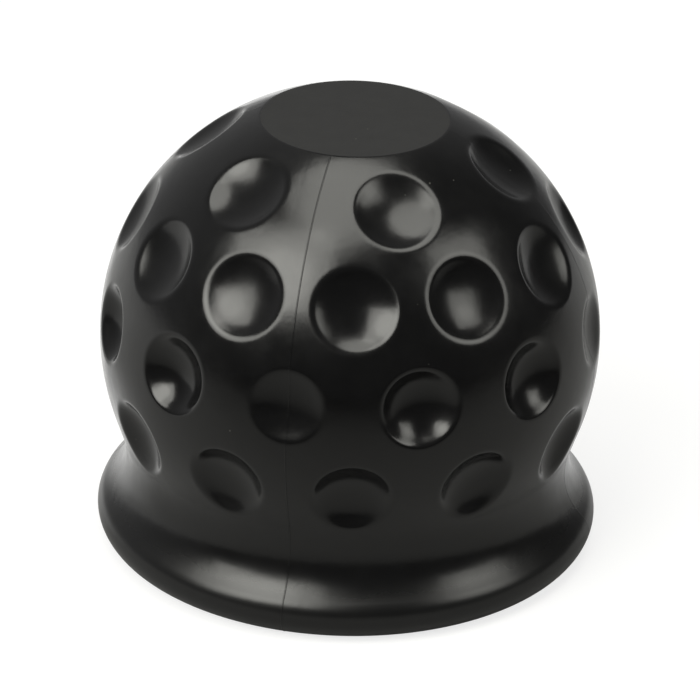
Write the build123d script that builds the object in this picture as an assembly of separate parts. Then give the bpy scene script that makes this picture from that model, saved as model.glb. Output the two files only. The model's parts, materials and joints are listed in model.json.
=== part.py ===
# Tow ball cover: a soft moulded cap that pushes over the ball of a tow bar and snaps in under it.
# One piece. A revolved section gives the dome, the flat top, the neck, the flared rim with its rounded
# bead, and the socket for the ball. Rings of round dimples are then cut into the dome.
# Millimetres and degrees. The origin is the middle of the base, +Z is the axis, and the front is -Y.
import os
from math import asin, cos, degrees, radians, sin, sqrt

from build123d import *

# Socket for the tow ball, with the throat that snaps in under the ball
ball_radius = 25.0
ball_clearance = 0.3
throat_grip = 1.8  # the throat's radius is this much less than the ball's
throat_length = 5.0
throat_edge_round = 1.0

# Dome
wall = 6.7  # from the socket out to the dome
dome_centre_height = 27.6  # above the base
dome_end_angle = 108.5  # from the top, down to where the dome runs straight into the neck
neck_margin = 0.8  # the straight neck ends this far below the lowest dimples
flat_radius = 12.0  # the flat round top
flat_edge_round = 1.0

# Rim
rim_overhang = 0.4  # how far the rim stands out past the dome
bead_radius = 3.1  # the rounded edge of the rim
base_ring_width = 2.8  # the flat ring that the cover stands on
mouth_edge_round = 0.8

# Dimples, in rings round the dome. The upper rings are shallow and the lower ones deep.
dimple_radius = 5.35  # where the bowl meets the dome, before the lip is rounded
dimple_bowl_radius = 13.0
deep_dimple_radius = 5.1
deep_bowl_radius = 8.0
seam_dimple_radius = 4.8  # on a parting line of the mould, a dimple of the lower rings is small and shallow
dimple_lip_round = 1.4
dimples_per_ring = 12  # the small top ring has half as many
ring_count = 4
deep_ring_count = 2
seam_count = 4
top_ring_gap = 14.7  # from the edge of the flat top to the middle of the top ring
low_ring_angle = 104.3  # from the top of the dome to the middle of the lowest ring
front_angle = -90.0  # from +X, as seen from above
radius_match = 1e-6  # two radii closer than this are the same

# Sizes that follow
socket_radius = ball_radius + ball_clearance
throat_radius = ball_radius - throat_grip
dome_radius = socket_radius + wall
neck_length = deep_dimple_radius + neck_margin - radians(dome_end_angle - low_ring_angle) * dome_radius
flat_height = dome_centre_height + sqrt(dome_radius**2 - flat_radius**2)
half_pitch = 180 / dimples_per_ring


def towards(angle):
    """The unit vector of the half section at an angle above the outward horizontal, as (r, z)."""
    return Vector(cos(radians(angle)), sin(radians(angle)))


def arc_about(centre, start, end):
    """The shorter arc from start to end round a centre."""
    middle = ((start - centre) + (end - centre)).normalized() * (start - centre).length
    return ThreePointArc(start, centre + middle, end)


def outside_lines():
    """The section's outside, from the axis at the top down to the base."""
    centre = Vector(0, dome_centre_height)
    flat_edge = Vector(flat_radius, flat_height)
    bead = Vector(dome_radius + rim_overhang - bead_radius, bead_radius)
    base_outer = Vector(bead.X, 0)
    # The neck is straight, and tangent to the dome where the dome ends.
    outward = towards(90 - dome_end_angle)
    dome_end = centre + outward * dome_radius
    neck_end = dome_end - towards(180 - dome_end_angle) * neck_length
    # A hollow sweeps from the neck to the rim. Its radius is the one that touches both the neck's end and
    # the bead: the distance between the two centres is then the sum of their radii.
    rise = neck_end - bead
    hollow_radius = (rise.dot(rise) - bead_radius**2) / (2 * (bead_radius - rise.dot(outward)))
    hollow = neck_end + outward * hollow_radius
    hollow_end = bead + (hollow - bead).normalized() * bead_radius
    return [
        Line(Vector(0, flat_height), flat_edge),
        arc_about(centre, flat_edge, dome_end),
        Line(dome_end, neck_end),
        arc_about(hollow, neck_end, hollow_end),
        arc_about(bead, hollow_end, base_outer),
        Line(base_outer, base_outer - Vector(base_ring_width, 0)),
    ]


def inside_lines(base_inner):
    """The section's inside, from the base up the flared mouth, the throat and the socket to the axis."""
    centre = Vector(0, dome_centre_height)
    throat_top = Vector(throat_radius, dome_centre_height - sqrt(socket_radius**2 - throat_radius**2))
    throat_bottom = throat_top - Vector(0, throat_length)
    socket_top = centre + Vector(0, socket_radius)
    return [
        Line(base_inner, throat_bottom),
        Line(throat_bottom, throat_top),
        arc_about(centre, throat_top, socket_top),
        Line(socket_top, Vector(0, flat_height)),
    ]


def half_section():
    """The wall's half section, with its corners rounded."""
    outside = outside_lines()
    flat_edge = outside[0] @ 1
    base_inner = outside[-1] @ 1
    inside = inside_lines(base_inner)
    throat_bottom = inside[0] @ 1
    throat_top = inside[1] @ 1
    section = make_face(outside + inside)
    for corner, radius in (
        (flat_edge, flat_edge_round),
        (base_inner, mouth_edge_round),
        (throat_bottom, throat_edge_round),
        (throat_top, throat_edge_round),
    ):
        section = fillet(section.vertices().sort_by_distance(corner)[0], radius)
    return section


def on_seam(azimuth):
    """True where one of the mould's parting lines passes. They are evenly spaced, from beside the front."""
    seam_pitch = 360 / seam_count
    past_seam = (azimuth - front_angle + half_pitch) % seam_pitch
    return min(past_seam, seam_pitch - past_seam) < half_pitch / 2


def dimple_cutter(ring, azimuth):
    """The ball that cuts one dimple, so far out that the cut meets the dome at the dimple's radius."""
    edge_radius, bowl_radius = dimple_radius, dimple_bowl_radius
    if ring >= ring_count - deep_ring_count:
        edge_radius, bowl_radius = deep_dimple_radius, deep_bowl_radius
        if on_seam(azimuth):
            edge_radius, bowl_radius = seam_dimple_radius, dimple_bowl_radius
    top_ring_angle = degrees(asin(flat_radius / dome_radius)) + top_ring_gap
    polar = top_ring_angle + ring * (low_ring_angle - top_ring_angle) / (ring_count - 1)
    distance = sqrt(dome_radius**2 - edge_radius**2) + sqrt(bowl_radius**2 - edge_radius**2)
    turned = Pos(Z=dome_centre_height) * Rot(Z=azimuth) * Rot(Y=polar - 90)
    return turned * Pos(X=distance) * Sphere(bowl_radius)


def dimple_cutters():
    """One ball for each dimple, in rings at even angles, with every second ring turned by half a pitch."""
    cutters = []
    for ring in range(ring_count):
        count = dimples_per_ring // 2 if ring == 0 else dimples_per_ring
        start = front_angle + (half_pitch if ring % 2 == 0 else 0)
        cutters += [dimple_cutter(ring, start + 360 * k / count) for k in range(count)]
    return cutters


def is_bowl(face):
    """True for the round bottom of a dimple."""
    bowls = (dimple_bowl_radius, deep_bowl_radius)
    return face.geom_type == GeomType.SPHERE and any(abs(face.radius - b) < radius_match for b in bowls)


body = revolve(Plane.XZ * half_section(), Axis.Z) - dimple_cutters()
lips = body.faces().filter_by(is_bowl).edges()
tow_ball_cover = fillet(lips, dimple_lip_round)

os.makedirs("parts", exist_ok=True)
export_step(tow_ball_cover, "parts/tow_ball_cover.step")
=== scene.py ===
import json
from math import asin, cos, pi, radians, sin, sqrt, tan

import bpy
import numpy as np
from mathutils import Matrix, Vector


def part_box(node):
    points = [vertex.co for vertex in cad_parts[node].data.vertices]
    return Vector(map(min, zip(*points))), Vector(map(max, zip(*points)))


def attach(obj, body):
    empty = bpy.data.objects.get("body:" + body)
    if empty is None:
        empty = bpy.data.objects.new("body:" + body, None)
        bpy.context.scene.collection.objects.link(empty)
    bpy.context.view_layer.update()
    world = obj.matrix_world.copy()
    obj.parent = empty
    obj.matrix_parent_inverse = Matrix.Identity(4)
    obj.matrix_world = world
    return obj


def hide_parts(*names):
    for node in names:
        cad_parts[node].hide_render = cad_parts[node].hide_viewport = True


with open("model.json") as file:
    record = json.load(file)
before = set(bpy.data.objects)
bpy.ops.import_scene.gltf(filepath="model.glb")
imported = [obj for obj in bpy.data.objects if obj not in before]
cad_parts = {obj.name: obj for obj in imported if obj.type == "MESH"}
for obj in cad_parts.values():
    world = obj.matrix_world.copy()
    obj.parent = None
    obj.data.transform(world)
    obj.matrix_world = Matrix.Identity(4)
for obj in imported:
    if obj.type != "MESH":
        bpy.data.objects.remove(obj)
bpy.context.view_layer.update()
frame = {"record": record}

# The looks of a tow ball cover: its dimpled skin, its mould seams, its black soft PVC, and a small studio.
# Lengths are in metres. An azimuth is measured from the front, -Y, towards +X. A polar angle is measured
# down from the top, and s is the length along a meridian of the dome, from its top.
mm = 0.001

# What the frame gives
cover_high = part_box("tow_ball_cover")[1]
ball_socket = next(m for m in frame["record"]["mounts"] if m["name"] == "ball_socket")
socket_radius = ball_socket["dims"]["r_mm"] * mm
centre_height = ball_socket["pos_m"][2]
height = cover_high.z
rim_radius = cover_high.x

# Dome and flat top
flat_radius = 12.0 * mm
flat_edge_round = 1.0 * mm
dome_radius = sqrt(flat_radius**2 + (height - centre_height) ** 2)
dome_end_angle = radians(108.5)

# Dimples, in rings from the top ring down. A bowl is part of a flattened ball.
top_ring_gap = radians(14.7)  # from the edge of the flat top
low_ring_angle = radians(104.3)
ring_dimples = (6, 12, 12, 12)
ring_starts = tuple(radians(a) for a in (15.0, 0.0, 15.0, 0.0))  # the azimuth of a ring's first dimple
dimple_radii = (5.2 * mm, 5.2 * mm, 4.75 * mm, 4.85 * mm)
bowl_half_widths = (6.6 * mm, 6.6 * mm, 5.2 * mm, 5.4 * mm)
bowl_half_heights = (3.0 * mm, 3.0 * mm, 3.8 * mm, 3.05 * mm)
lip_reach = 0.85 * mm  # how far out from its edge a dimple's lip starts
seam_rings = (False, False, True, True)  # where a dimple on a mould seam is smaller and shallower
seam_dimple_radius = 4.6 * mm
seam_bowl_radius = 12.0 * mm

# Neck, rim and inside
neck_length = 3.554 * mm
bead_radius = 3.1 * mm
base_ring_width = 2.8 * mm
mouth_edge_round = 0.8 * mm
throat_grip = 2.1 * mm  # the throat's radius is this much less than the socket's
throat_length = 5.0 * mm
throat_edge_round = 1.0 * mm

# Mould seams
seam_azimuths = tuple(radians(a) for a in (-15.0, 75.0, 165.0, 255.0))
seam_half_width = 0.1 * mm
seam_heights = (0.035 * mm, 0.012 * mm, 0.012 * mm, 0.012 * mm)  # the one at the front shows most
seam_end_length = 0.6 * mm  # a seam is drawn in to a point along this length

# Finish of the PVC. Scales are how many waves of a pattern go into a metre.
pvc_ior = 1.54
pvc_dark = (0.0030, 0.0030, 0.0032, 1)
pvc_light = (0.0060, 0.0060, 0.0062, 1)
flat_dark = (0.0070, 0.0070, 0.0072, 1)
flat_light = (0.0135, 0.0135, 0.0137, 1)
dust_colour = (0.05, 0.05, 0.045, 1)
dome_roughness = (0.17, 0.25)  # where it is clean and where it is smudged
smudge_range = (0.35, 0.65)  # the values of the smudges' pattern that stand for clean and for smudged
rim_roughness = 0.3
rim_start = 9.0 * mm  # the rim's finish sets in between these two heights
rim_full = 5.0 * mm
flat_roughness = 0.62
noise_detail = 4.0  # this and the next are the same for all cloud patterns
noise_roughness = 0.6
smudge_scale = 170.0
mottle_scale = 420.0
wave_scale = 140.0
wave_height = 0.05 * mm
grain_scale = 2600.0
grain_height = 0.02 * mm
crease_reach = 2.6 * mm  # beside a mould seam the skin leans towards it
crease_height = 0.025 * mm
speck_scale = 667.0
speck_size = 0.1  # in waves
speck_share = 0.05  # this share of the waves holds a speck

# Camera. Directions are seen from the middle of the dome, in degrees.
dome_middle = Vector((0, 0, centre_height))
camera_distance = 536.9 * mm
camera_azimuth = -1.35
camera_elevation = 26.37
camera_roll = 1.4
camera_lens = 215.4
sensor_width = 36.0
aim_drop = 2.8 * mm  # the middle of the picture is this far below the middle of the dome
aim_side = 0.06 * mm  # and this far to its right

# Lamps. Each one's azimuth, elevation, width, length, radiance, shape and roll. The width and the length
# are angles as the dome sees them.
light_distance = 0.9
light_colour = (1.0, 0.995, 0.93)
lamps = {
    "key_softbox": (-48, 44, 47, 39, 4.1, "RECTANGLE", 24),
    "key_core": (-45, 43, 29, 28, 2.3, "ELLIPSE", 0),
    "right_softbox": (68, 35, 29, 33, 2.4, "RECTANGLE", -24),
    "right_core": (67, 37, 17, 17, 1.1, "ELLIPSE", 0),
    "overhead": (-30, 87.5, 46, 46, 3.5, "ELLIPSE", 0),
}

# Floor and room
white = (1, 1, 1, 1)
floor_half_width = 1.0
floor_front = -0.5
floor_back = 1.6
floor_gap = 0.02 * mm  # keeps the floor's face clear of the base ring's
floor_dim_y = -0.22  # from the front to the back, the floor goes from dim to pale and on to white, as painted light falling off towards the front
floor_pale_y = -0.05
floor_white_y = 0.15
floor_shade_grey = (0.01, 0.27)  # its colour, from dim to pale: painted shade where less light reaches the floor towards the front
floor_lift = (0.99, 0.76)  # what lifts it to white for the camera, from dim to pale
floor_painted_glow = (0.0, 0.4)  # how brightly the cover mirrors it, from pale to white: a painted glow for the floor's light, seen only in reflections
floor_key_light_lean = 0.35  # it also gets whiter to the left, at this share of the rate to the back: painted light from the key lamp on the left
floor_lit_strip = 0.68  # right behind the cover, a strip is mirrored this much more brightly: painted light on the floor past the cover's contact shadow
floor_lit_strip_y = (-0.005, 0.02)  # towards the back, the strip sets in between these
floor_lit_strip_x = (0.07, 0.04)  # and to both sides between these distances from its middle
floor_lit_strip_side = 0.008  # how far the strip's middle lies to the left
room_pale_azimuth = -155.0
room_pale_y = (-0.1, -1.0)  # the Y of a unit direction, after a turn that puts this azimuth at -Y
room_glow = (0.05, 0.3)  # from dim to pale

# How finely the skin is divided
pitch_columns = 18  # across one dimple's cell, in the rings with most dimples
columns = max(ring_dimples) * pitch_columns  # all the way round
side_rows = 14  # down a cell's side
bowl_rings = 9
lip_rings = 10
land_rings = 5
lip_margin = 0.06 * mm  # the fine rings go on this far past the lip
weld_step = 1e-7  # points that round to the same multiple of this are one point
flat_margin = 1e-6  # points less than this below the top are on the flat top

# How many points the parts of the half section have
flat_points = 5
flat_edge_points = 6
hollow_points = 18
bead_points = 24
base_ring_points = 2
mouth_edge_points = 6
mouth_points = 5
throat_edge_points = 5
throat_points = 3
socket_points = 30

# How finely the seams are divided
seam_trace_points = 400  # down the dome and the neck, before the points are spaced evenly
seam_points = 240
seam_sides = 8

# Sizes that follow
throat_radius = socket_radius - throat_grip
seam_pitch = 2 * pi / len(seam_azimuths)
flat_edge_angle = asin(flat_radius / dome_radius)
flat_edge_reach = flat_edge_round * tan(flat_edge_angle / 2)
ring_polars = np.linspace(flat_edge_angle + top_ring_gap, low_ring_angle, len(ring_dimples))
dome_start_s = dome_radius * flat_edge_angle + flat_edge_reach
dome_end_s = dome_radius * dome_end_angle
half_pitch_s = dome_radius * (ring_polars[1] - ring_polars[0]) / 2
row_edges = (dome_start_s, *(dome_radius * ring_polars[:-1] + half_pitch_s), dome_end_s + neck_length)


def on_cover(radius, azimuth, z):
    """Points at a distance from the axis, an azimuth from the front and a height."""
    x, y = radius * np.sin(azimuth), -radius * np.cos(azimuth)
    return np.stack(np.broadcast_arrays(x, y, z), axis=-1)


def plain_dome(azimuth, s):
    """The dome before its dimples, and its outward normal: along a meridian, an arc about the dome's centre
    up to the dome's end, and from there the arc's tangent, which is the neck."""
    polar = np.minimum(s / dome_radius, dome_end_angle)
    beyond = np.maximum(s - dome_end_s, 0.0)
    radius = dome_radius * np.sin(polar) + beyond * np.cos(polar)
    z = centre_height + dome_radius * np.cos(polar) - beyond * np.sin(polar)
    return on_cover(radius, azimuth, z), on_cover(np.sin(polar), azimuth, np.cos(polar))


def nearest_dimple(ring, azimuth):
    """The dimple of a ring nearest to each azimuth: its axis, its edge's radius, and half the width and half
    the height of the flattened ball that its bowl is part of. A dimple less than a quarter of the ring's
    pitch from a mould seam counts as on it."""
    pitch = 2 * pi / ring_dimples[ring]
    nearest = ring_starts[ring] + np.round((azimuth - ring_starts[ring]) / pitch) * pitch
    from_seam = (nearest - seam_azimuths[0] + seam_pitch / 2) % seam_pitch - seam_pitch / 2
    on_seam = (np.abs(from_seam) < pitch / 4) & seam_rings[ring]
    axis = on_cover(sin(ring_polars[ring]), nearest, cos(ring_polars[ring]))
    edge = np.where(on_seam, seam_dimple_radius, dimple_radii[ring])
    wide = np.where(on_seam, seam_bowl_radius, bowl_half_widths[ring])
    high = np.where(on_seam, seam_bowl_radius, bowl_half_heights[ring])
    return axis, edge, wide, high


def stretched(vectors, axis, stretch):
    """Vectors with their part along an axis added once more, times the stretch."""
    return vectors + stretch * (vectors * axis).sum(-1)[..., None] * axis


def dimple_depth(ring, azimuth, points, normals):
    """How far the nearest dimple of a ring moves points of the plain dome inwards along their normals. The
    depth down to the dimple's flattened ball is the root of a quadratic, after a stretch along the dimple's
    axis that makes the ball round. Past the dimple's edge the depth goes on below zero as an even slope. A
    cubic, flat where the lip starts and tangent to the bowl half as far inside the edge, joins the bowl to
    the plain dome."""
    axis, edge, wide, high = nearest_dimple(ring, azimuth)
    edge_drop = np.sqrt(dome_radius**2 - edge**2)
    wall_slope = np.arctan(high / wide * edge / np.sqrt(wide**2 - edge**2))
    slope = np.tan(wall_slope + np.arcsin(edge / dome_radius))
    blend = slope * lip_reach
    distance = edge_drop + high * np.sqrt(1 - (edge / wide) ** 2)
    dome_centre = np.array([0, 0, centre_height])
    centre = dome_centre + axis * distance[..., None]
    from_middle = np.linalg.norm(points - dome_centre - axis * dome_radius, axis=-1)
    past_edge = from_middle - np.sqrt(2 * dome_radius * (dome_radius - edge_drop))
    stretch = (wide / high - 1)[..., None]
    away = stretched(points - centre, axis, stretch)
    normal = stretched(normals, axis, stretch)
    square, along = (normal**2).sum(-1), (away * normal).sum(-1)
    inside = along**2 - square * ((away**2).sum(-1) - wide**2)
    bowl = np.where(inside > 0, (along + np.sqrt(np.maximum(inside, 0.0))) / square, -blend)
    bowl = np.where(past_edge > 0, np.maximum(bowl, -slope * past_edge), bowl)
    # At one and a half times the blend, this cubic has the bowl's depth and the bowl's slope.
    lip = 4 / 27 * np.clip(bowl + blend, 0.0, 1.5 * blend) ** 3 / blend**2
    return np.maximum(bowl, lip)


def dimpled_dome(azimuth, s):
    """The dome with its dimples: a point moves inwards along its normal by the depth of the dimple that it
    is in."""
    points, normals = plain_dome(azimuth, s)
    depth = np.zeros(points.shape[:-1])
    for ring in range(len(ring_dimples)):
        depth = np.maximum(depth, dimple_depth(ring, azimuth, points, normals))
    return points - normals * depth[..., None]


def cell_border(across, down):
    """A cell's border as a unit square, from its lower left corner round anticlockwise."""
    there, back = np.linspace(-1, 1, across, endpoint=False), np.linspace(1, -1, across, endpoint=False)
    up, sink = np.linspace(-1, 1, down, endpoint=False), np.linspace(1, -1, down, endpoint=False)
    ones_across, ones_down = np.ones(across), np.ones(down)
    a = np.concatenate([there, ones_down, back, -ones_down])
    b = np.concatenate([-ones_across, up, ones_across, sink])
    return a, b


def dimple_cells(ring):
    """The azimuths and lengths s of one ring's cells, as (cell, ring of points, point) grids, and the
    azimuths of the cells' middles. In each cell the rings of points are circles round the dimple's middle,
    out past its lip, and then run to the cell's border in even steps."""
    count, polar = ring_dimples[ring], ring_polars[ring]
    top, bottom = row_edges[ring], row_edges[ring + 1]
    half_width = pi / count
    a, b = cell_border(columns // count, side_rows)
    border_azimuth = a * half_width
    border_s = (top + bottom) / 2 - b * (bottom - top) / 2
    # Each point's direction from the dimple's middle is half way between the border point's own and an even
    # share of the circle.
    own = np.unwrap(np.arctan2(dome_radius * polar - border_s, border_azimuth * dome_radius * sin(polar)))
    even = np.linspace(0, 2 * pi, len(own), endpoint=False)
    towards = (own + even + (own - even).mean()) / 2
    lip_start = dimple_radii[ring] + lip_reach + lip_margin
    lip_end = dimple_radii[ring] - lip_reach / 2 - lip_margin
    bowl = np.linspace(0, lip_end, bowl_rings, endpoint=False)[1:]
    lip = np.linspace(lip_end, lip_start, lip_rings)
    reach = np.concatenate([bowl, lip])[:, None] / dome_radius
    rise, side = np.sin(reach) * np.sin(towards), np.sin(reach) * np.cos(towards)
    forward = np.cos(reach) * sin(polar) - rise * cos(polar)
    circle_azimuth = np.arctan2(side, forward)
    circle_s = dome_radius * np.arccos(np.cos(reach) * cos(polar) + rise * sin(polar))
    share = np.linspace(0, 1, land_rings + 1)[1:, None]
    land_azimuth = circle_azimuth[-1] * (1 - share) + border_azimuth * share
    land_s = circle_s[-1] * (1 - share) + border_s * share
    azimuth = np.concatenate([circle_azimuth, land_azimuth])
    s = np.concatenate([circle_s, land_s])
    middles = ring_starts[ring] + np.arange(count) * 2 * half_width
    return azimuth[None] + middles[:, None, None], np.broadcast_to(s, (count, *s.shape)), middles


def arc(centre, start, end, count):
    """A half section's points along the shorter arc from start to end round a centre: an even turn of the
    arm."""
    arm, last = np.subtract(start, centre), np.subtract(end, centre)
    first = np.arctan2(arm[1], arm[0])
    turn = (np.arctan2(last[1], last[0]) - first + pi) % (2 * pi) - pi
    angle = first + turn * np.linspace(0, 1, count)
    return np.asarray(centre) + np.hypot(*arm) * np.stack([np.cos(angle), np.sin(angle)], axis=-1)


def rounded_corner(before, corner, after, radius, count):
    """The arc of a radius that touches both lines of a corner."""
    to_before = np.subtract(before, corner) / np.hypot(*np.subtract(before, corner))
    to_after = np.subtract(after, corner) / np.hypot(*np.subtract(after, corner))
    half = np.arccos(np.clip(to_before @ to_after, -1, 1)) / 2
    reach = radius / np.tan(half)
    middle = (to_before + to_after) / np.hypot(*(to_before + to_after))
    centre = np.asarray(corner) + middle * radius / np.sin(half)
    return arc(centre, corner + to_before * reach, corner + to_after * reach, count)


def straight(start, end, count):
    """Even points along a line, both ends left out."""
    share = np.linspace(0, 1, count + 2)[1:-1, None]
    return np.asarray(start) * (1 - share) + np.asarray(end) * share


def flat_top_section():
    """The half section of the flat top from its middle to the dome, with the rounded edge."""
    edge = np.array([flat_radius, height])
    edge_slope = np.array([cos(flat_edge_angle), -sin(flat_edge_angle)])
    rim = rounded_corner(edge - [flat_radius, 0], edge, edge + edge_slope, flat_edge_round, flat_edge_points)
    # The last point is exactly the one that the dome starts at.
    polar = dome_start_s / dome_radius
    rim[-1] = dome_radius * sin(polar), centre_height + dome_radius * cos(polar)
    middle = np.array([0.0, height])
    return np.concatenate([middle[None], straight(middle, rim[0], flat_points), rim])


def rim_points():
    """The neck's end, the hollow's centre and end, and the bead's centre, in the half section. The hollow's
    radius is the one that touches both the neck's end and the bead."""
    outward = np.array([sin(dome_end_angle), cos(dome_end_angle)])
    down = np.array([cos(dome_end_angle), -sin(dome_end_angle)])
    neck_end = np.array([0, centre_height]) + outward * dome_radius + down * neck_length
    bead = np.array([rim_radius - bead_radius, bead_radius])
    rise = neck_end - bead
    hollow_radius = (rise @ rise - bead_radius**2) / (2 * (bead_radius - rise @ outward))
    hollow = neck_end + outward * hollow_radius
    hollow_end = bead + (hollow - bead) / np.hypot(*(hollow - bead)) * bead_radius
    return neck_end, hollow, hollow_end, bead


def outer_rim_section():
    """The half section from the neck's end over the hollow and the bead to the base."""
    neck_end, hollow, hollow_end, bead = rim_points()
    hollow_arc = arc(hollow, neck_end, hollow_end, hollow_points)
    bead_arc = arc(bead, hollow_end, (bead[0], 0.0), bead_points)
    return np.concatenate([hollow_arc, bead_arc[1:]])


def inner_section():
    """The half section of the base ring, the flared mouth, the throat and the ball socket, up to the
    axis."""
    bead = rim_points()[-1]
    base_outer = np.array([bead[0], 0.0])
    base_inner = base_outer - [base_ring_width, 0]
    throat_drop = sqrt(socket_radius**2 - throat_radius**2)
    throat_top = np.array([throat_radius, centre_height - throat_drop])
    throat_bottom = throat_top - [0, throat_length]
    seat = throat_top + np.array([throat_drop, throat_radius]) / socket_radius
    corners = (
        (base_outer, base_inner, throat_bottom, mouth_edge_round, mouth_edge_points),
        (base_inner, throat_bottom, throat_top, throat_edge_round, throat_edge_points),
        (throat_bottom, throat_top, seat, throat_edge_round, throat_edge_points),
    )
    mouth_edge, throat_edge, seat_edge = (rounded_corner(*corner) for corner in corners)
    centre = np.array([0.0, centre_height])
    socket_arc = arc(centre, seat_edge[-1], (0.0, centre_height + socket_radius), socket_points)
    return np.concatenate(
        [
            straight(base_outer, mouth_edge[0], base_ring_points),
            mouth_edge,
            straight(mouth_edge[-1], throat_edge[0], mouth_points),
            throat_edge,
            straight(throat_edge[-1], seat_edge[0], throat_points),
            seat_edge,
            socket_arc[1:],
        ]
    )


def ring_quads(rows, count):
    """The faces of a grid whose rows are closed rings, with the side towards the next row on the right."""
    first = np.arange(rows * count).reshape(rows, count)
    second = np.roll(first, -1, axis=1)
    corners = [first[:-1], first[1:], second[1:], second[:-1]]
    return np.stack(corners, axis=-1).reshape(-1, 4)


def pole_triangles(pole, ring):
    """A fan from one point to a ring of points."""
    following = np.roll(ring, -1, axis=-1)
    return np.stack(np.broadcast_arrays(pole, ring, following), axis=-1).reshape(-1, 3)


def welded(points, faces):
    """The points with those at one place made one, and the faces that use them."""
    points = np.concatenate(points)
    cells = np.round(points / weld_step).astype(np.int64)
    _, first, place = np.unique(cells, axis=0, return_index=True, return_inverse=True)
    return points[first], [place.reshape(-1)[f] for f in faces]


def add_mesh(name, points, faces):
    """A smooth mesh object at the origin."""
    mesh = bpy.data.meshes.new(name)
    mesh.from_pydata(points.tolist(), [], [face for group in faces for face in group.tolist()])
    mesh.shade_smooth()
    piece = bpy.data.objects.new(name, mesh)
    bpy.context.scene.collection.objects.link(piece)
    return piece


def cover_skin():
    """The whole skin of the cover as one closed mesh: the cells of the dimples, and rings round the axis
    for the flat top, the neck, the rim and the inside."""
    points, faces, used = [], [], 0
    for ring in range(len(ring_dimples)):
        azimuth, s, middles = dimple_cells(ring)
        cells, rows, count = azimuth.shape
        poles = dimpled_dome(middles, np.full(cells, dome_radius * ring_polars[ring]))
        starts = used + np.arange(cells)[:, None, None] * rows * count
        faces.append((ring_quads(rows, count)[None] + starts).reshape(-1, 4))
        inner_ring = starts[:, 0] + np.arange(count)
        faces.append(pole_triangles(used + cells * rows * count + np.arange(cells)[:, None], inner_ring))
        points += [dimpled_dome(azimuth, s).reshape(-1, 3), poles]
        used += cells * rows * count + cells
    turn = seam_azimuths[0] + np.arange(columns) * 2 * pi / columns
    top, rim, inside = flat_top_section(), outer_rim_section(), inner_section()
    below = np.concatenate([rim, inside[:-1]])
    around_top = on_cover(top[1:, :1], turn, top[1:, 1:])
    around_below = on_cover(below[:, :1], turn, below[:, 1:])
    for rows, end, step in ((around_top[::-1], top[0], -1), (around_below, inside[-1], 1)):
        count = len(rows) * columns
        quads = ring_quads(len(rows), columns)[:, ::step]
        last_ring = used + count - columns + np.arange(columns)
        fan = pole_triangles(used + count, last_ring)[:, ::-step]
        faces += [quads + used, fan]
        points += [rows.reshape(-1, 3), on_cover(end[0], 0.0, end[1])[None]]
        used += count + 1
    return welded(points, faces)


def seam_path(azimuth):
    """The half section along one mould seam, as even points from the flat top down the dimpled dome, the
    neck and the rim to the base, and each point's length along it."""
    s = np.linspace(dome_start_s, dome_end_s + neck_length, seam_trace_points)
    dome = dimpled_dome(np.full(len(s), azimuth), s)
    outer = np.stack([np.hypot(dome[:, 0], dome[:, 1]), dome[:, 2]], axis=-1)
    line = np.concatenate([outer, outer_rim_section()[1:]])
    along = np.concatenate([[0], np.cumsum(np.hypot(*np.diff(line, axis=0).T))])
    even = np.linspace(0, along[-1], seam_points)
    return even, np.stack([np.interp(even, along, part) for part in line.T], axis=-1)


def mould_seams():
    """The fine ridges that the mould's parting lines leave: a small ellipse carried along each seam, half of
    it sunk in the skin, and drawn in to a point at both ends."""
    points, faces = [], []
    turn = np.linspace(0, 2 * pi, seam_sides, endpoint=False)
    for number, (azimuth, seam_height) in enumerate(zip(seam_azimuths, seam_heights)):
        even, line = seam_path(azimuth)
        tangent = np.gradient(line, axis=0)
        tangent /= np.hypot(tangent[:, 0], tangent[:, 1])[:, None]
        from_end = np.minimum(even, even[-1] - even)
        draw = np.sqrt(1 - (1 - np.clip(from_end / seam_end_length, 0, 1)) ** 2)[:, None]
        out = seam_height * draw * np.sin(turn)
        side = seam_half_width * draw * np.cos(turn)
        radius = line[:, :1] - tangent[:, 1:] * out
        z = line[:, 1:] + tangent[:, :1] * out
        ridge = on_cover(radius, azimuth, z) + side[..., None] * np.array([cos(azimuth), sin(azimuth), 0])
        points.append(ridge.reshape(-1, 3))
        faces.append(ring_quads(seam_points, seam_sides) + number * seam_points * seam_sides)
    return welded(points, faces)


def feed(tree, socket, value):
    """Links another node's socket to a socket, or sets the socket's own value."""
    if isinstance(value, bpy.types.NodeSocket):
        tree.links.new(value, socket)
    else:
        socket.default_value = value


def node(tree, kind, **settings):
    """A new node. Each setting is an attribute of the node, or what one of its sockets is fed with."""
    made = tree.nodes.new(kind)
    for name, value in settings.items():
        if hasattr(made, name):
            setattr(made, name, value)
        else:
            feed(tree, made.inputs[name.replace("_", " ")], value)
    return made


def mapped(tree, value, low, high, to_low, to_high):
    """A value carried evenly from one range to another, and held at its ends."""
    ends = {"From_Min": low, "From_Max": high, "To_Min": to_low, "To_Max": to_high}
    return node(tree, "ShaderNodeMapRange", Value=value, **ends).outputs["Result"]


def noise(tree, place, scale):
    """A soft cloud pattern between 0 and 1, about 0.5."""
    settings = {"Scale": scale, "Detail": noise_detail, "Roughness": noise_roughness}
    return node(tree, "ShaderNodeTexNoise", Vector=place, **settings).outputs["Fac"]


def mixed(tree, share, first, second):
    """A number that goes from the first to the second as the share goes from 0 to 1."""
    made = node(tree, "ShaderNodeMix", data_type="FLOAT", Factor=share, A=first, B=second)
    return made.outputs["Result"]


def blended(tree, share, first, second):
    """A colour that goes from the first to the second as the share goes from 0 to 1."""
    made = node(tree, "ShaderNodeMixRGB", Fac=share, Color1=first, Color2=second)
    return made.outputs["Color"]


def maths(tree, operation, first, second=0.0):
    """The result of an operation on one or two numbers."""
    made = node(tree, "ShaderNodeMath", operation=operation)
    for socket, value in zip(made.inputs, (first, second)):
        feed(tree, socket, value)
    return made.outputs["Value"]


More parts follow.
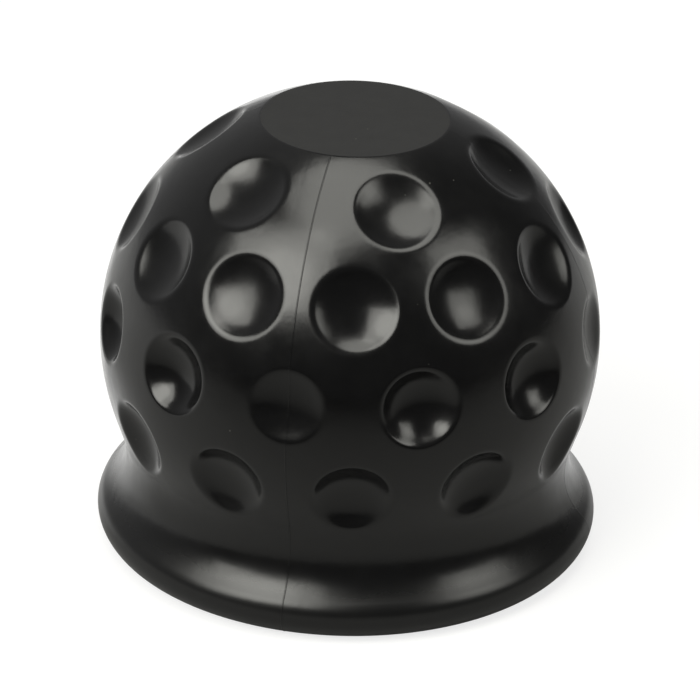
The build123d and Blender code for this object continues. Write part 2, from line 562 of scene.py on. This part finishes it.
def turned_axes(tree, place, angle):
    """The X, Y and Z of a place after a turn about the upright axis."""
    turned = node(tree, "ShaderNodeMapping", Vector=place, Rotation=(0, 0, angle))
    return node(tree, "ShaderNodeSeparateXYZ", Vector=turned.outputs["Vector"]).outputs


def seam_lean(tree, place):
    """1 on a mould seam, falling evenly to 0 a little way from it: the seams lie in two upright planes at
    right angles, and what counts is the distance to the nearer one."""
    axes = turned_axes(tree, place, -seam_azimuths[0])
    x, y = (maths(tree, "ABSOLUTE", axes[axis]) for axis in "XY")
    return mapped(tree, maths(tree, "MINIMUM", x, y), 0.0, crease_reach, 1.0, 0.0)


def dust_specks(tree, place):
    """1 in a few tiny specks: the middles of a few cells of a fine cell pattern."""
    cells = node(tree, "ShaderNodeTexVoronoi", Vector=place, Scale=speck_scale)
    draw = node(tree, "ShaderNodeSeparateColor", Color=cells.outputs["Color"]).outputs["Red"]
    size = mapped(tree, draw, 1 - speck_share, 1.0, 0.0, speck_size)
    return maths(tree, "LESS_THAN", cells.outputs["Distance"], size)


def bumped(tree, heights, distance, normal=None):
    """A normal tilted by a pattern of heights."""
    made = node(tree, "ShaderNodeBump", Height=heights, Distance=distance)
    if normal:
        feed(tree, made.inputs["Normal"], normal)
    return made.outputs["Normal"]


def soft_pvc():
    """Black soft PVC. The mould's polish leaves the dome glossy, faintly smudged and not quite even, and
    creased at the mould seams. The rim is satin, and the flat top is matt and finely grained. A few specks
    of dust lie on it."""
    material = bpy.data.materials.new("soft_pvc")
    material.use_nodes = True
    tree = material.node_tree
    inputs = tree.nodes["Principled BSDF"].inputs
    place = node(tree, "ShaderNodeTexCoord").outputs["Object"]
    z = node(tree, "ShaderNodeSeparateXYZ", Vector=place).outputs["Z"]
    flat_top = node(tree, "ShaderNodeAttribute", attribute_name="flat_top").outputs["Fac"]
    polish = mapped(tree, noise(tree, place, smudge_scale), *smudge_range, *dome_roughness)
    satin = mixed(tree, mapped(tree, z, rim_start, rim_full, 0.0, 1.0), polish, rim_roughness)
    mottle = noise(tree, place, mottle_scale)
    gloss_colour = blended(tree, mottle, pvc_dark, pvc_light)
    colour = blended(tree, flat_top, gloss_colour, blended(tree, mottle, flat_dark, flat_light))
    wavy = bumped(tree, noise(tree, place, wave_scale), wave_height)
    creased = bumped(tree, seam_lean(tree, place), crease_height, wavy)
    grain = maths(tree, "MULTIPLY", noise(tree, place, grain_scale), flat_top)
    feed(tree, inputs["IOR"], pvc_ior)
    feed(tree, inputs["Roughness"], mixed(tree, flat_top, satin, flat_roughness))
    feed(tree, inputs["Base Color"], blended(tree, dust_specks(tree, place), colour, dust_colour))
    feed(tree, inputs["Normal"], bumped(tree, grain, grain_height, creased))
    return material


def floor_material():
    """A plain pale floor. The camera sees it lifted to white, with the shadow kept. The cover's gloss
    mirrors a painted glow on it: pale behind the cover and to the left, where the key lamp falls, and
    dimmer towards the front, out of the picture, where painted shade also darkens the floor's colour."""
    material = bpy.data.materials.new("floor")
    material.use_nodes = True
    tree = material.node_tree
    tree.nodes.clear()
    rays = node(tree, "ShaderNodeLightPath").outputs
    place = node(tree, "ShaderNodeTexCoord").outputs["Object"]
    axes = node(tree, "ShaderNodeSeparateXYZ", Vector=place).outputs
    x, y = axes["X"], axes["Y"]
    # Painted light: a brighter strip behind the cover, past its painted contact shadow, seen only in
    # reflections
    aside = maths(tree, "ABSOLUTE", maths(tree, "ADD", x, floor_lit_strip_side))
    behind = mapped(tree, y, *floor_lit_strip_y, 0.0, floor_lit_strip)
    strip = maths(tree, "MULTIPLY", behind, mapped(tree, aside, *floor_lit_strip_x, 0.0, 1.0))
    # Painted light: the mirrored glow grows paler to the back and to the left, where the key lamp falls
    leaning = maths(tree, "SUBTRACT", y, maths(tree, "MULTIPLY", x, floor_key_light_lean))
    paler = mapped(tree, leaning, floor_pale_y, floor_white_y, *floor_painted_glow)
    # Painted shade: the floor's colour dims towards the front, as light falls off there
    grey = mapped(tree, y, floor_dim_y, floor_pale_y, *floor_shade_grey)
    lift = mapped(tree, y, floor_dim_y, floor_pale_y, *floor_lift)
    seen = maths(tree, "MULTIPLY", rays["Is Camera Ray"], lift)
    mirroring = maths(tree, "MAXIMUM", rays["Is Glossy Ray"], rays["Is Transmission Ray"])
    mirrored = maths(tree, "MULTIPLY", mirroring, maths(tree, "ADD", strip, paler))
    paper = node(tree, "ShaderNodeBsdfDiffuse", Color=grey)
    glow = node(tree, "ShaderNodeEmission", Color=white, Strength=maths(tree, "ADD", seen, mirrored))
    both = node(tree, "ShaderNodeAddShader")
    feed(tree, both.inputs[0], paper.outputs[0])
    feed(tree, both.inputs[1], glow.outputs[0])
    node(tree, "ShaderNodeOutputMaterial", Surface=both.outputs[0])
    return material


def direction(azimuth, elevation):
    """The unit vector towards an azimuth and an elevation in degrees."""
    a, e = radians(azimuth), radians(elevation)
    return Vector((sin(a) * cos(e), -cos(a) * cos(e), sin(e)))


def facing(place, towards, roll):
    """A place and a turn that looks from it along -Z, with Y up but for a roll in degrees."""
    turn = (towards - place).to_track_quat("-Z", "Y").to_matrix().to_4x4()
    return Matrix.Translation(place) @ turn @ Matrix.Rotation(radians(roll), 4, "Z")


def softbox(name, azimuth, elevation, width, length, radiance, shape, roll):
    """A flat lamp with an even radiance, square to a direction from the dome. Its energy is its radiance
    times its area times pi."""
    lamp = bpy.data.lights.new(name, "AREA")
    lamp.shape = shape
    lamp.size = 2 * light_distance * tan(radians(width) / 2)
    lamp.size_y = 2 * light_distance * tan(radians(length) / 2)
    area = lamp.size * lamp.size_y * (pi / 4 if shape == "ELLIPSE" else 1)
    lamp.energy = pi * radiance * area
    lamp.color = light_colour
    box = bpy.data.objects.new(name, lamp)
    place = dome_middle + direction(azimuth, elevation) * light_distance
    box.matrix_world = facing(place, dome_middle, roll)
    box.visible_camera = False
    bpy.context.scene.collection.objects.link(box)


def add_camera():
    """The camera at the photograph's angle, rolled a little."""
    data = bpy.data.cameras.new("camera")
    data.lens = camera_lens
    data.sensor_width = sensor_width
    camera = bpy.data.objects.new("camera", data)
    place = dome_middle + direction(camera_azimuth, camera_elevation) * camera_distance
    aim = dome_middle + Vector((aim_side, 0, -aim_drop))
    camera.matrix_world = facing(place, aim, camera_roll)
    bpy.context.scene.collection.objects.link(camera)
    bpy.context.scene.camera = camera


def add_floor():
    """A flat sheet under the cover."""
    x = np.array([-1, 1, 1, -1]) * floor_half_width
    y = np.array([floor_front, floor_front, floor_back, floor_back])
    corners = np.stack([x, y, np.full(4, -floor_gap)], axis=-1)
    floor = add_mesh("floor", corners, [np.arange(4)[None]])
    floor.data.materials.append(floor_material())


def add_world():
    """White where the camera sees past the floor. What shines on the cover is a dim room, pale behind it on
    the left and dark in front."""
    world = bpy.data.worlds.new("room")
    bpy.context.scene.world = world
    world.use_nodes = True
    tree = world.node_tree
    tree.nodes.clear()
    rays = node(tree, "ShaderNodeLightPath").outputs
    place = node(tree, "ShaderNodeTexCoord").outputs["Generated"]
    towards = turned_axes(tree, place, -radians(room_pale_azimuth))
    glow = mapped(tree, towards["Y"], *room_pale_y, *room_glow)
    room = node(tree, "ShaderNodeBackground", Color=white, Strength=glow)
    sheet = node(tree, "ShaderNodeBackground", Color=white, Strength=1.0)
    mix = node(tree, "ShaderNodeMixShader", Fac=rays["Is Camera Ray"])
    feed(tree, mix.inputs[1], room.outputs[0])
    feed(tree, mix.inputs[2], sheet.outputs[0])
    node(tree, "ShaderNodeOutputWorld", Surface=mix.outputs[0])


skin_points, skin_faces = cover_skin()
skin = add_mesh("cover_skin", skin_points, skin_faces)
on_flat = (skin_points[:, 2] > height - flat_margin) & (np.hypot(*skin_points[:, :2].T) < flat_radius)
flat_top = skin.data.attributes.new("flat_top", "FLOAT", "POINT")
flat_top.data.foreach_set("value", on_flat.astype(np.float32))
seams = add_mesh("mould_seams", *mould_seams())
pvc = soft_pvc()
for piece in (skin, seams):
    piece.data.materials.append(pvc)
    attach(piece, "root")
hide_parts("tow_ball_cover")

add_floor()
add_world()
add_camera()
for lamp_name, settings in lamps.items():
    softbox(lamp_name, *settings)
bpy.context.scene.view_settings.view_transform = "Standard"
